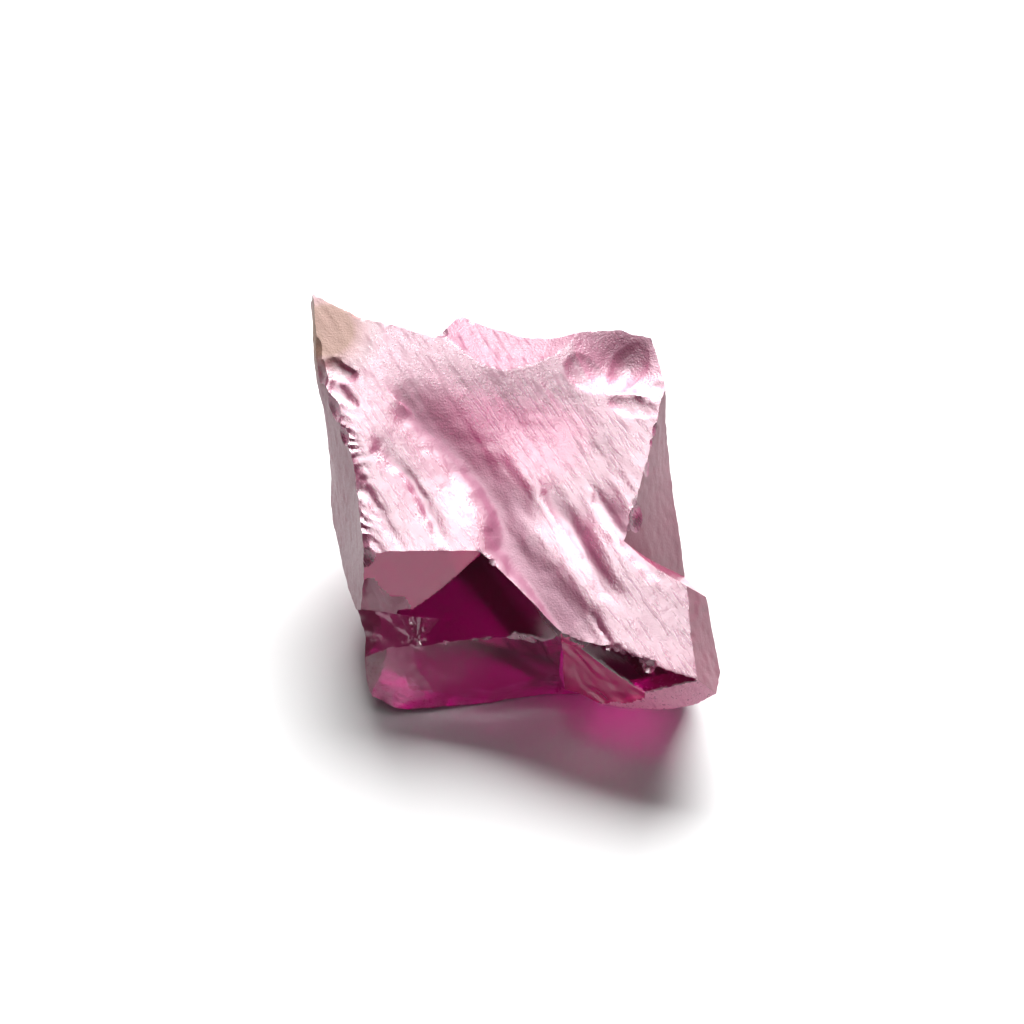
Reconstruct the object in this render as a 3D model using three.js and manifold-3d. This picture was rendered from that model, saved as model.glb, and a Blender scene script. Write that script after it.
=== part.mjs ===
// A raw ruby crystal: one broken chip of corundum about 14 mm across, 16 ct or so.
//
// The chip has no crystal faces left. Every surface on it is a fracture, and fractures are smooth:
// each one here is the least-bent sheet through a few named corners, like a spring-steel plate
// pinned at those points. The stone is a blank block with everything outside those sheets broken
// off. Neighbouring sheets share corners, so the ridges between them run where the corners are.
//
// Corners are in millimetres in the slab frame: X to the right, Y up the broad top scoop,
// Z out of it. At the end the slab is leaned back onto the flat parting face that it rests on.

import * as THREE from "three";
import { mergeVertices } from "three/addons/utils/BufferGeometryUtils.js";
import Module from "manifold-3d";

const wasm = await Module();
wasm.setup();

// Driving dimensions
const LEAN = 45; // degrees between the slab and the ground it rests on
const REST_DEPTH = 5; // mm from the slab frame's origin down to the resting face
const BLANK = 20; // mm, side of the block that the chip is broken out of
const CUT_REACH = 12; // mm that a fracture carries on from its centre, past the stone
const CUT_HEIGHT = 16; // mm of waste that each fracture takes off
const FACET = 0.65; // mm, side of the flats that a curved fracture is made of

// Corners that more than one fracture passes through
const spike = [-6.85, 7.45, -0.25];
const rimWest = [-5.4, 6.8, 0];
const rimMiddle = [-3.95, 6.4, 0.1];
const rimNotch = [-2.65, 6, 0.3];
const peak = [-1.8, 6.85, -0.6];
const rimDip = [-0.55, 6.35, -0.4];
const rimSaddle = [1.15, 6, -0.1];
const rimEast = [3.8, 6.3, 0.1];
const backCorner = [4.85, 6.05, 0.1];
const leftHigh = [-6.55, 4.85, 0.7];
const leftMiddle = [-5.5, 2.25, 1.9];
const leftLow = [-4.85, -1.6, 3.15];
const apex = [-1, -1.3, 3];
const ridgeBend = [2.05, -3.9, 3.9];
const ridgeEast = [4.7, -5.05, 4.4];
const frontCorner = [6.1, -5.55, 4.6];
const valleyFoot = [-2.95, -3, 1.95];
const lobeTop = [-3, -4.55, 1.75];
const lobeWaist = [-2.75, -5.45, 0.85];
const lipMiddle = [-0.25, -4.2, 2.7];
const lipEast = [1.55, -4.3, 3.3];
const scoopWest = [-0.8, -6.05, 0.5];
const scoopEast = [0.6, -5.75, 0.9];
const hackleFoot = [4.65, -6.15, 3.9];
const stepTop = [3.65, -0.9, 2.85];
const flankHigh = [-6.4, 2, -1];
const flankMiddle = [-6.3, 0, -1.8];
const flankLow = [-5.9, -2, -1];

function average(points) {
  const sum = new THREE.Vector3();
  points.forEach((point) => sum.add(point));
  return sum.divideScalar(points.length);
}

// Gaussian elimination with row swaps, in place, for a small square system.
function solve(rows, right) {
  const n = right.length;
  for (let i = 0; i < n; i++) {
    let best = i;
    for (let j = i + 1; j < n; j++) {
      if (Math.abs(rows[j][i]) > Math.abs(rows[best][i])) best = j;
    }
    [rows[i], rows[best]] = [rows[best], rows[i]];
    [right[i], right[best]] = [right[best], right[i]];
    for (let j = i + 1; j < n; j++) {
      const share = rows[j][i] / rows[i][i];
      for (let k = i; k < n; k++) rows[j][k] -= share * rows[i][k];
      right[j] -= share * right[i];
    }
  }
  for (let i = n - 1; i >= 0; i--) {
    for (let k = i + 1; k < n; k++) right[i] -= rows[i][k] * right[k];
    right[i] /= rows[i][i];
  }
  return right;
}

// The least-bent sheet (a thin-plate spline) through points, as a height z over x and y.
function leastBentSheet(points) {
  const bend = (dx, dy) => {
    const square = dx * dx + dy * dy;
    return square > 0 ? 0.5 * square * Math.log(square) : 0;
  };
  const rows = points.map((p) => [
    ...points.map((q) => bend(p.x - q.x, p.y - q.y)),
    1,
    p.x,
    p.y,
  ]);
  rows.push([...points.map(() => 1), 0, 0, 0]);
  rows.push([...points.map((q) => q.x), 0, 0, 0]);
  rows.push([...points.map((q) => q.y), 0, 0, 0]);
  const weights = solve(rows, [...points.map((p) => p.z), 0, 0, 0]);
  const [level, slopeX, slopeY] = weights.slice(points.length);
  return (x, y) =>
    points.reduce(
      (height, q, i) => height + weights[i] * bend(x - q.x, y - q.y),
      level + slopeX * x + slopeY * y,
    );
}

// A three.js geometry as a manifold solid.
function solidOf(geometry) {
  geometry.deleteAttribute("normal");
  geometry.deleteAttribute("uv");
  const merged = mergeVertices(geometry);
  return new wasm.Manifold(
    new wasm.Mesh({
      numProp: 3,
      vertProperties: merged.attributes.position.array,
      triVerts: new Uint32Array(merged.index.array),
    }),
  );
}

// What one fracture breaks off: a block whose underside is the fracture, on the side it faces.
function fracture(facing, corners) {
  const points = corners.map((corner) => new THREE.Vector3(...corner));
  const normal = new THREE.Vector3(...facing).normalize();
  const side = Math.abs(normal.x) < 0.9 ? new THREE.Vector3(1, 0, 0) : new THREE.Vector3(0, 1, 0);
  const along = new THREE.Vector3().crossVectors(normal, side).normalize();
  const across = new THREE.Vector3().crossVectors(along, normal);
  const place = new THREE.Matrix4().makeBasis(across, along, normal);
  place.setPosition(average(points));
  const toSheet = place.clone().invert();
  const sheet = leastBentSheet(points.map((point) => point.applyMatrix4(toSheet)));
  const flats = points.length > 3 ? Math.round((2 * CUT_REACH) / FACET) : 1;
  const block = new THREE.BoxGeometry(2 * CUT_REACH, 2 * CUT_REACH, CUT_HEIGHT, flats, flats, 1);
  const position = block.attributes.position;
  for (let i = 0; i < position.count; i++) {
    const underside = position.getZ(i) < 0;
    position.setZ(i, underside ? sheet(position.getX(i), position.getY(i)) : CUT_HEIGHT);
  }
  return solidOf(block.applyMatrix4(place));
}

const anyOf = (...cuts) => cuts.reduce((sum, cut) => sum.add(cut));
const allOf = (...cuts) => cuts.reduce((common, cut) => common.intersect(cut));

// The broad, shallow scoop that is the top of the stone.
const topScoop = () =>
  fracture(
    [0, 0.36, 0.93],
    [
      spike,
      rimNotch,
      [-0.7, 4.95, 0.65],
      [0.6, 5.05, 0.6],
      backCorner,
      [4.35, 3.8, 1],
      leftHigh,
      leftMiddle,
      [-4.9, -1.05, 3.05],
      [-2.8, 2.45, 1.35],
      [-0.4, 2.1, 1.2],
      [2.3, -0.25, 2.15],
      apex,
      ridgeBend,
      ridgeEast,
      frontCorner,
      [6.25, -2.6, 3.6],
      stepTop,
    ],
  );

// A thin bevel bitten out of the back rim, between the peak and the rim's east half.
const rimBevel = () =>
  fracture(
    [0, 0.38, 0.93],
    [
      peak,
      rimDip,
      rimSaddle,
      [-2.15, 6, 0.3],
      [-0.7, 4.95, 0.65],
      [0.6, 5.05, 0.6],
      [2.1, 5.9, 0.3],
      [-4.15, 6.9, 0.8],
      [4.4, 6.55, 0.8],
    ],
  );

// A shell-shaped flake lost from the back right corner.
const cornerShell = () =>
  fracture(
    [0.1, 0.54, 0.84],
    [
      [2.5, 6.15, 0.05],
      [2.25, 5.3, 0.45],
      [3.05, 4.1, 0.85],
      [4.05, 3.95, 0.95],
      [5.1, 3.95, 1],
      [3.8, 6.3, -0.05],
      [4.95, 6.05, 0],
      [4, 4.95, 0],
      [1.65, 4.5, 1.4],
      [3.3, 2.75, 2.15],
      [5.35, 2.75, 2.15],
    ],
  );

// The notch in the front: its right wall is the broad glassy facet, its left wall is in two.
const frontNotch = () =>
  allOf(
    fracture(
      [-0.33, -0.21, 0.92],
      [
        apex,
        ridgeBend,
        ridgeEast,
        [6, -5.6, 4.55],
        valleyFoot,
        lobeTop,
        lipMiddle,
        lipEast,
        [3.55, -5.1, 3.75],
        hackleFoot,
      ],
    ),
    anyOf(
      fracture([0.04, -0.56, 0.83], [apex, [-4, -1.35, 3.1], valleyFoot]),
      fracture(
        [-0.12, -0.69, 0.71],
        [
          [-4.95, -1.8, 3],
          [-4.1, -2.6, 2.3],
          [-3.2, -3.55, 1.6],
          [-4.95, -3.4, 1.4],
        ],
      ),
    ),
  );

// The left flank, seen edge-on from the front, and the surface that runs under it.
const leftFlank = () =>
  anyOf(
    fracture(
      [-0.96, -0.12, 0.25],
      [
        spike,
        [-6.7, 6.1, 0.3],
        leftHigh,
        leftMiddle,
        leftLow,
        [-5, -3.45, 2.2],
        flankHigh,
        flankMiddle,
        flankLow,
      ],
    ),
    fracture(
      [-0.9, -0.19, -0.39],
      [
        [-7, 7.4, -1.2],
        [-6.5, 4.15, -0.5],
        flankHigh,
        flankMiddle,
        flankLow,
        [-5.45, -3.15, 0.3],
        [-5.1, -4.1, 1.2],
        [-5.05, -4.9, 0.7],
        [-5.05, -5.8, 0.1],
        [-4.85, -6.4, 0],
        [-3.8, -4, -3.05],
        [-4.2, 2.5, -4.6],
      ],
    ),
  );

// The back: two fractures that meet in the valley below the rim notch, and one behind the peak.
const back = () =>
  allOf(
    fracture(
      [0.4, 0.85, -0.34],
      [
        [-7, 7.6, -0.4],
        rimWest,
        rimMiddle,
        rimNotch,
        [-3.5, 4.6, -3.2],
        [-1, 4.4, -3.2],
        [2, 2, -3],
      ],
    ),
    anyOf(
      fracture([-0.77, 0.62, -0.14], [rimNotch, peak, [-2.4, 5.6, -3]]),
      fracture(
        [0.12, 0.88, -0.45],
        [
          peak,
          rimDip,
          rimSaddle,
          [2.1, 6.15, 0.1],
          rimEast,
          backCorner,
          [-1, 5, -3.2],
          [3, 4.6, -3.2],
        ],
      ),
    ),
  );

// The bevel that broke off along the lower edge of the back.
const lowBack = () =>
  fracture(
    [0.1, 0.3, -0.95],
    [
      [-3.4, 0.8, -7.8],
      [0.4, -0.5, -6.6],
      [3.6, 0.4, -7.5],
      [-2.4, 3.9, -6],
      [2.8, 3.3, -6.6],
      [0.3, 2.4, -6.3],
    ],
  );

// The right side: a long flake lost down to a step, and the steep fracture below it.
const rightSide = () =>
  anyOf(
    allOf(
      fracture(
        [0.85, -0.01, 0.52],
        [[4.95, 3, 1.2], [4.3, 0.75, 2.1], stepTop, [5.8, -1.15, -0.3], [5.4, 1.8, -0.2]],
      ),
      fracture(
        [0.57, 0.82, 0.07],
        [stepTop, [4.7, -1.8, 3.1], [5.8, -2.45, 3.4], [4.7, -1.65, 1.5], [6, -2.35, 0.3]],
      ),
    ),
    fracture(
      [0.99, 0.13, -0.08],
      [
        backCorner,
        [5.15, 4.55, 0.3],
        [5.35, 3.1, 0.6],
        [5.4, 1.85, -0.2],
        [5.7, -0.3, -0.4],
        [6, -2.3, -0.4],
        [4.7, 3.4, -3.2],
        [5.7, -2, -3],
      ],
    ),
    // the oblique fracture that undercuts it
    fracture(
      [0.86, -0.1, -0.5],
      [
        [5.4, 2.2, -1.7],
        [5.75, -0.6, -2.2],
        [6.1, -2.8, -1.2],
        [3.5, -1.5, -5.6],
        [2.4, 1.6, -8.6],
      ],
    ),
  );

// The tongue's right end, which rolls over from the top scoop.
const tongueEnd = () =>
  fracture(
    [0.83, 0.24, 0.5],
    [
      [5.9, -2.65, 3.5],
      frontCorner,
      [6.55, -2.8, 2.6],
      [6.75, -4.3, 2.8],
      [6.85, -5.45, 3.2],
      [6.9, -5.9, 3.6],
    ],
  );

// What leaves the foot, the lobe on the left that the stone stands on.
const outsideFoot = () =>
  anyOf(
    // the mauve facet below the notch
    fracture(
      [-0.1, -0.73, 0.68],
      [
        lobeTop,
        lipMiddle,
        lipEast,
        lobeWaist,
        scoopWest,
        scoopEast,
        [-4.3, -4.7, 1.4],
        [-4.35, -6.45, 0.3],
      ],
    ),
    // the rounded, striated end of the lobe
    fracture(
      [-0.31, -0.64, 0.7],
      [
        lobeTop,
        lobeWaist,
        [-4.35, -4.7, 0.9],
        [-3.85, -6.85, 0],
        [-2.35, -6.75, -0.05],
        [-1.15, -6.5, 0.5],
        [0.25, -5.3, 3],
        [0.25, -3.2, 4.5],
        [-5.05, -5.45, 0.3],
      ],
    ),
    // the scoop that undercuts the mauve facet
    fracture(
      [0.11, -0.87, 0.48],
      [
        [-2.2, -5.75, 0.75],
        scoopWest,
        scoopEast,
        [1.8, -5.8, 0.8],
        [-1.65, -6.7, -0.35],
        [-0.35, -6.5, -0.5],
        [1.15, -6.25, -0.6],
        [-3.8, -6.1, 1],
        [-3.85, -6.85, 0.4],
      ],
    ),
    // the chamfer along the foot's lower edge
    fracture(
      [-0.04, -0.78, -0.62],
      [
        [-4.65, -6.6, 0.1],
        [-3.7, -6.9, 0.05],
        [-2.35, -6.75, -0.1],
        [-1.45, -6.65, -0.3],
        [-3.5, -5.9, -1.15],
        [0, -5.9, -1.15],
      ],
    ),
    // a chip out of the lobe's top, with a steep upper wall
    allOf(
      fracture([-0.53, 0.02, 0.85], [[-2.3, -3.6, 2.15], lobeTop, [-4.35, -4.35, 0.9]]),
      fracture([-0.08, -1, 0.04], [[-4.55, -3.4, 2], [-2.3, -3.6, 2], [-4.65, -3.5, -1]]),
    ),
  );

// What leaves the tongue, the ledge that overhangs on the right.
const outsideTongue = () =>
  anyOf(
    // the hackled facet and the tongue's steep left wall
    fracture([-0.5, -0.6, 0.63], [[1.75, -4.35, 3.3], hackleFoot, [2.3, -6.2, 2]]),
    fracture([-0.96, -0.24, 0.14], [[1.6, -4.3, 3.3], [1.8, -5.9, 2], [1.4, -5.3, 0]]),
    // the pale lens-shaped facet along the front edge
    fracture(
      [-0.05, -0.91, 0.42],
      [
        [4.25, -6.4, 3.3],
        [4.65, -6.2, 3.8],
        [5.15, -5.95, 4.1],
        [6.75, -5.8, 4.2],
        [5.4, -6.55, 3.3],
        [3.1, -6.5, 2.3],
      ],
    ),
    // the underside
    fracture(
      [0.39, -0.81, -0.44],
      [
        [2, -6.05, 2],
        [3.1, -6.5, 2.3],
        [4.6, -6.65, 3.1],
        [6.05, -6.4, 3.4],
        [6.85, -5.9, 3.8],
        [3.5, -4.4, -2.6],
        [6, -3, -0.5],
        [1.5, -6.3, -0.8],
      ],
    ),
  );

// The flat parting face that the stone rests on: level once the slab is leaned back.
function restingFace() {
  const lean = THREE.MathUtils.degToRad(LEAN);
  const down = new THREE.Vector3(0, -Math.sin(lean), -Math.cos(lean));
  const along = new THREE.Vector3(0, Math.cos(lean), -Math.sin(lean));
  const middle = down.clone().multiplyScalar(REST_DEPTH);
  const corners = [
    middle,
    middle.clone().add(along),
    middle.clone().add(new THREE.Vector3(1, 0, 0)),
  ];
  return fracture(
    down.toArray(),
    corners.map((corner) => corner.toArray()),
  );
}

function rubyGeometry() {
  const blank = solidOf(new THREE.BoxGeometry(BLANK, BLANK, BLANK));
  const waste = anyOf(
    topScoop(),
    rimBevel(),
    cornerShell(),
    frontNotch(),
    leftFlank(),
    back(),
    lowBack(),
    rightSide(),
    tongueEnd(),
    restingFace(),
    allOf(outsideFoot(), outsideTongue()),
  );
  const mesh = blank.subtract(waste).getMesh();
  const geometry = new THREE.BufferGeometry();
  geometry.setAttribute("position", new THREE.BufferAttribute(mesh.vertProperties, 3));
  geometry.setIndex(new THREE.BufferAttribute(mesh.triVerts, 1));
  return geometry;
}

// Leans the slab back and stands it on the ground, with the origin under the middle of its box.
function standOnGround(geometry) {
  geometry.rotateX(THREE.MathUtils.degToRad(LEAN));
  geometry.computeBoundingBox();
  const box = geometry.boundingBox;
  const middle = box.getCenter(new THREE.Vector3());
  return geometry.translate(-middle.x, -middle.y, -box.min.z);
}

const ruby = new THREE.Mesh(
  standOnGround(rubyGeometry()),
  new THREE.MeshStandardMaterial({ color: 0xa8336a, roughness: 0.3, metalness: 0, flatShading: true }),
);
ruby.name = "ruby_crystal";

const group = new THREE.Group();
group.add(ruby);

export default group;
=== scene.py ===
"""A raw ruby crystal: one see-through magenta fragment, about 14 mm across, broken on every side.

The stone is described in millimetres in the frame of its own slab: x to the right, y up the slab and z out of
its large face. Each face is a fracture, the least-bent sheet through a few corners that neighbouring faces
share. The sheets are cut out of each other, with furrows, ripples and chips on them, and meshed finely. The
stone then leans back by LEAN and rests on its flat foot, in metres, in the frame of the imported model.
"""

import math
from typing import NamedTuple

import bpy
import numpy as np
from mathutils import Matrix, Vector


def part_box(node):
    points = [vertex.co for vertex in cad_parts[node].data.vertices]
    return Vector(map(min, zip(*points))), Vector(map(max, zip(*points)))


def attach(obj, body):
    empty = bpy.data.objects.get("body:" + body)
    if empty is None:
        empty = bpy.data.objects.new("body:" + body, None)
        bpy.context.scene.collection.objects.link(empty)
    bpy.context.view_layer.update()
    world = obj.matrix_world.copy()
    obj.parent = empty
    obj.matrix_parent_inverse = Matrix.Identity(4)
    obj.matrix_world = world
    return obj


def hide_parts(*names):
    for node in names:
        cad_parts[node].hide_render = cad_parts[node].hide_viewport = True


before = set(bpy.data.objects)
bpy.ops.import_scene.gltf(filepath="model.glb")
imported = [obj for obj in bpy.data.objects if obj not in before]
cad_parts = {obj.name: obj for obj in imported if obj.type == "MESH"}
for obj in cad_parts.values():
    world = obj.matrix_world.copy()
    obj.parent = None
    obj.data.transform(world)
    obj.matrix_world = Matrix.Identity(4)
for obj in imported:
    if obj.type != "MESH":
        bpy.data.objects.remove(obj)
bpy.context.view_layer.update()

# Metres in a millimetre, how far the slab leans, and how far below its origin its foot is, in millimetres.
MM = 0.001
LEAN = math.radians(45)
REST_DEPTH = 5.0

# The space that holds the stone and the cell of its grid, in millimetres. A first look takes COARSE cells at
# once, and BATCH points are measured at once.
BLANK_LOW = np.array([-7.6, -7.4, -9.0])
BLANK_HIGH = np.array([7.6, 8.2, 5.4])
CELL = 0.092
COARSE = 4
BATCH = 150000

# Edges that bend more than this look sharp.
CREASE = math.radians(32)

# The studio, in metres.
FLOOR_GAP = 0.03 * MM
LIGHT_DISTANCE = 0.3
CAMERA_DISTANCE = 98.08 * MM

# Corners that several fractures share.
spike = (-6.85, 7.45, -0.25)
rim_west = (-5.4, 6.8, 0)
rim_middle = (-3.95, 6.4, 0.1)
rim_notch = (-2.65, 6, 0.3)
peak = (-1.8, 6.85, -0.6)
rim_dip = (-0.55, 6.35, -0.4)
rim_saddle = (1.15, 6, -0.1)
rim_east = (3.8, 6.3, 0.1)
back_corner = (4.85, 6.05, 0.1)
bevel_west = (-0.7, 4.95, 0.65)
bevel_east = (0.6, 5.05, 0.6)
left_high = (-6.55, 4.85, 0.7)
left_middle = (-5.5, 2.25, 1.9)
left_low = (-4.85, -1.6, 3.15)
apex = (-1, -1.3, 3)
ridge_bend = (2.05, -3.9, 3.9)
ridge_east = (4.7, -5.05, 4.4)
front_corner = (6.1, -5.55, 4.6)
valley_foot = (-2.95, -3, 1.95)
lobe_top = (-3, -4.55, 1.75)
lobe_waist = (-2.75, -5.45, 0.85)
lip_middle = (-0.25, -4.2, 2.7)
lip_east = (1.55, -4.3, 3.5)
scoop_west = (-0.8, -6.05, 0.5)
scoop_east = (0.6, -5.75, 0.9)
hackle_foot = (4.65, -6.15, 4.08)
flake_high = (4.95, 3, 1.2)
flake_middle = (4.3, 0.75, 2.1)
step_top = (3.65, -0.9, 2.85)
flank_high = (-6.4, 2, -1)
flank_middle = (-6.3, 0, -1.8)
flank_low = (-5.9, -2, -1)
tongue_root = (3.1, -6.5, 2.3)


# ---- Relief: how far a fracture stands out from its smooth sheet, in millimetres ----

class Wander:
    """Smooth random values, the same at each run. grain is how far they run each way before they change."""

    SIDE = 32

    def __init__(self, seed, grain, axes=None):
        self.lattice = np.random.default_rng(seed).uniform(-1, 1, (self.SIDE,) * 3)
        self.grain = np.array(grain, float)
        self.axes = np.eye(3) if axes is None else np.array(axes, float)

    def __call__(self, points):
        place = points @ self.axes.T / self.grain
        corner = np.floor(place).astype(int)
        t = place - corner
        t = t * t * t * (t * (t * 6 - 15) + 10)
        total = 0
        for step in np.ndindex(2, 2, 2):
            share = np.prod(np.where(step, t, 1 - t), axis=1)
            at = (corner + step) % self.SIDE
            total = total + share * self.lattice[at[:, 0], at[:, 1], at[:, 2]]
        return total


class Furrow:
    """A groove that runs down the large face along its bends, steep on the left and easy on the right."""

    STEEP_SIDE = 0.55
    EASY_SIDE = 1.1

    def __init__(self, *bends, width, depth):
        self.bends = np.array(bends, float)
        self.width = width
        self.depth = depth

    def __call__(self, points):
        best = np.full(len(points), np.inf)
        side = np.zeros(len(points))
        along = np.zeros(len(points))
        stretches = len(self.bends) - 1
        for index in range(stretches):
            start = self.bends[index]
            run = self.bends[index + 1] - start
            offset = points[:, :2] - start
            share = np.clip(offset @ run / (run @ run), 0, 1)
            away = offset - share[:, None] * run
            distance = np.hypot(away[:, 0], away[:, 1])
            nearer = distance < best
            best = np.where(nearer, distance, best)
            side = np.where(nearer, away[:, 1] * run[0] - away[:, 0] * run[1], side)
            along = np.where(nearer, (index + share) / stretches, along)
        reach = np.where(side > 0, self.width * self.EASY_SIDE, self.width * self.STEEP_SIDE)
        taper = np.sin(np.pi * (0.06 + 0.88 * along)) ** 0.4
        return -self.depth * taper * np.exp(-(best / reach) ** 2)


class Scar(NamedTuple):
    """A shallow scar of a flake, with a crisp rim. It runs length each way from x, y, at turn in degrees."""
    x: float
    y: float
    width: float
    length: float
    turn: float
    depth: float

    def relief(self, points):
        wobble = np.stack([swell(points * 2.3), swell(points * 2.1 + 5)], -1)
        offset = points[:, :2] - (self.x, self.y) + 0.12 * wobble
        c = math.cos(math.radians(self.turn))
        s = math.sin(math.radians(self.turn))
        along = (offset[:, 0] * c + offset[:, 1] * s) / self.length
        across = (offset[:, 1] * c - offset[:, 0] * s) / self.width
        return -self.depth * np.clip(1 - along ** 2 - across ** 2, 0, 1) ** 0.8


# The way that the furrows run, and across it.
FLOW = np.array([0.56, -0.83, 0])
ACROSS_FLOW = np.array([0.83, 0.56, 0])
FLOW_AXES = (ACROSS_FLOW, FLOW, (0, 0, 1))
FURROWS = [
    Furrow((-3.3, 3.3), (-1.9, 1.9), (-1, 0.9), (-0.5, 0), (-0.3, -1.2), (0.5, -2.2), (1.6, -3.6), (2, -4),
           width=0.85, depth=0.4),
    Furrow((-4.5, 2.1), (-3.4, 0.9), (-2.8, -0.2), (-2.4, -0.9), width=0.3, depth=0.11),
    Furrow((-5.4, 1.3), (-4.5, -0.1), (-3.8, -1.1), width=0.2, depth=0.08),
    Furrow((1.3, 0.6), (1.9, -0.4), (2.5, -1.6), (3.1, -2.6), width=0.4, depth=0.16),
    Furrow((2.9, 0.3), (3.7, -0.8), (4.6, -2), width=0.42, depth=0.17),
    Furrow((2.6, -3.4), (3.2, -4.4), width=0.18, depth=0.07),
]
SCARS = [
    Scar(3.95, 4.95, width=0.6, length=1.0, turn=60, depth=0.09),
    Scar(2.5, 4.75, width=0.5, length=0.8, turn=-50, depth=0.1),
    Scar(4.1, 3.6, width=0.4, length=0.9, turn=-15, depth=0.1),
    Scar(4.95, 4.1, width=0.3, length=0.5, turn=20, depth=0.08),
    Scar(-5.9, 4.75, width=0.4, length=0.7, turn=-25, depth=0.18),
    Scar(-5.75, 4.0, width=0.3, length=0.6, turn=-40, depth=0.12),
]
swell = Wander(3, (1.6, 1.6, 1.6))
drift = Wander(4, (0.6, 2.8, 2), FLOW_AXES)
hackle = Wander(5, (0.17, 1.3, 1), FLOW_AXES)
pebble = Wander(6, (0.24, 0.24, 0.24))
rib = Wander(7, (2.4, 0.7, 2))


def scarred(points):
    """Flake scars near the corners of the large face."""
    total = np.zeros(len(points))
    for scar in SCARS:
        total = total + scar.relief(points)
    return total


def ploughed(points):
    """The furrows of the large face."""
    wavy = points + (0.12 * drift(points) + 0.06 * pebble(points * 0.6))[:, None] * ACROSS_FLOW
    total = np.zeros(len(points))
    for furrow in FURROWS:
        total = total + furrow(wavy)
    return total


def torn(points):
    """Hackle ribs on the left edge of the large face, which falls away there."""
    band = 0.9
    spacing = 0.4
    edge = np.interp(points[:, 1], (-1.6, 2.25, 4.85, 5.6), (-4.85, -5.5, -6.55, -6.7))
    inward = points[:, 0] - edge
    near = np.clip(1 - inward / band, 0, 1) * np.clip(2 - 0.38 * points[:, 1], 0, 1)
    ribs = np.sin((points[:, 1] + 0.6 * inward) * 2 * math.pi / spacing + 7 * swell(points * 1.7))
    return near ** 1.5 * (0.032 * ribs - 0.14)


def furrowed(points):
    """The large face: furrows, scars and fine hackle on a slow swell."""
    fine = 0.03 * swell(points) + 0.015 * drift(points) + 0.012 * hackle(points) + 0.005 * pebble(points)
    return ploughed(points) + scarred(points) + torn(points) + fine


def glassy_smooth(points):
    """A clean break, with hardly a wave in it."""
    return 0.012 * swell(points)


def rippled(depth, spacing, source):
    """A shell-like break: low ripples round the point that the crack started from."""
    def relief(points):
        distance = np.linalg.norm(points - source, axis=1)
        bend = 2.2 * swell(points)
        ripple = depth * np.sin(distance * 2 * math.pi / spacing + bend)
        return ripple + 0.05 * swell(points) + 0.008 * pebble(points)
    return relief


def cornered(points):
    """The broken corner at the top right: scars on a rough break."""
    return scarred(points) + 0.03 * swell(points) + 0.01 * pebble(points)


def fanned(depth, count, source):
    """A torn break: uneven ribs that fan out from a point in the plane of the slab."""
    def relief(points):
        offset = points[:, :2] - source
        angle = np.arctan2(offset[:, 1], offset[:, 0]) + 0.15 * swell(points)
        distance = np.hypot(offset[:, 0], offset[:, 1])
        ribs = rib(np.stack([angle * count, distance, points[:, 2]], -1))
        return depth * ribs + 0.03 * swell(points) + 0.01 * pebble(points)
    return relief


def worn(points):
    """A dull break with no grain of its own."""
    return 0.06 * swell(points) + 0.018 * pebble(points)


def flat(points):
    """The foot that the stone rests on."""
    return np.zeros(len(points))


# ---- Fractures and how they cut each other ----

class Finish(NamedTuple):
    """How much of each a fracture has, from 0 to 1."""
    frost: float
    skin: float = 0
    milk: float = 0
    blush: float = 0


WEATHERED = Finish(0.45, skin=0.75, blush=0.2)
CHIPPED = Finish(0.22, skin=0.1, milk=0.25)


class Sheet:
    """A fracture: the least-bent sheet through its corners, with the stone on the side it faces away from."""

    REACH = 0.8

    def __init__(self, finish, relief, facing, *corners):
        self.finish = finish
        self.relief = relief
        points = np.array(corners, float)
        self.centre = points.mean(0)
        self.normal = np.array(facing, float) / np.linalg.norm(facing)
        side = (1, 0, 0) if abs(self.normal[0]) < 0.9 else (0, 1, 0)
        self.along = np.cross(self.normal, side)
        self.along /= np.linalg.norm(self.along)
        self.across = np.cross(self.along, self.normal)
        self.pins = self.flatten(points)
        count = len(points)
        matrix = np.zeros((count + 3, count + 3))
        matrix[:count, :count] = self.bend(self.pins[:, None] - self.pins[None])
        matrix[:count, count] = 1
        matrix[:count, count + 1:] = self.pins
        matrix[count:, :count] = matrix[:count, count:].T
        height = (points - self.centre) @ self.normal
        self.weights = np.linalg.solve(matrix, np.append(height, np.zeros(3)))

    @staticmethod
    def bend(offset):
        """The thin-plate spline's kernel, with a tiny term that keeps the logarithm finite."""
        square = (offset ** 2).sum(-1) + 1e-12
        return 0.5 * square * np.log(square)

    def flatten(self, points):
        """Points in the plane that the sheet is bent from."""
        offset = points - self.centre
        return np.stack([offset @ self.across, offset @ self.along], -1)

    def outside(self, points):
        """How far points stand out of the stone past this fracture, in millimetres; negative in the stone."""
        count = len(self.pins)
        flat_points = self.flatten(points)
        height = self.weights[count] + flat_points @ self.weights[count + 1:]
        has_bends = count > 3
        if has_bends:
            for pin, weight in zip(self.pins, self.weights):
                height = height + weight * self.bend(flat_points - pin)
        value = (points - self.centre) @ self.normal - height
        near = np.abs(value) < self.REACH
        value[near] -= self.relief(points[near])
        return value


class Scallops:
    """Small round chips knocked out of an edge: balls that stand mostly outside the stone."""

    FAR_INSIDE = -9.0

    def __init__(self, finish, centres, radii):
        self.finish = finish
        self.centres = centres
        self.radii = radii

    def outside(self, points):
        margin = self.radii.max() + 1
        above = points > self.centres.min(0) - margin
        below = points < self.centres.max(0) + margin
        near = np.all(above & below, axis=1)
        value = np.full(len(points), self.FAR_INSIDE)
        found = value[near]
        for centre, radius in zip(self.centres, self.radii):
            found = np.maximum(found, radius - np.linalg.norm(points[near] - centre, axis=1))
        value[near] = found
        return value


class AnyOf:
    """The stone ends where any one of these fractures does."""

    def __init__(self, *parts):
        self.parts = parts


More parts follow.
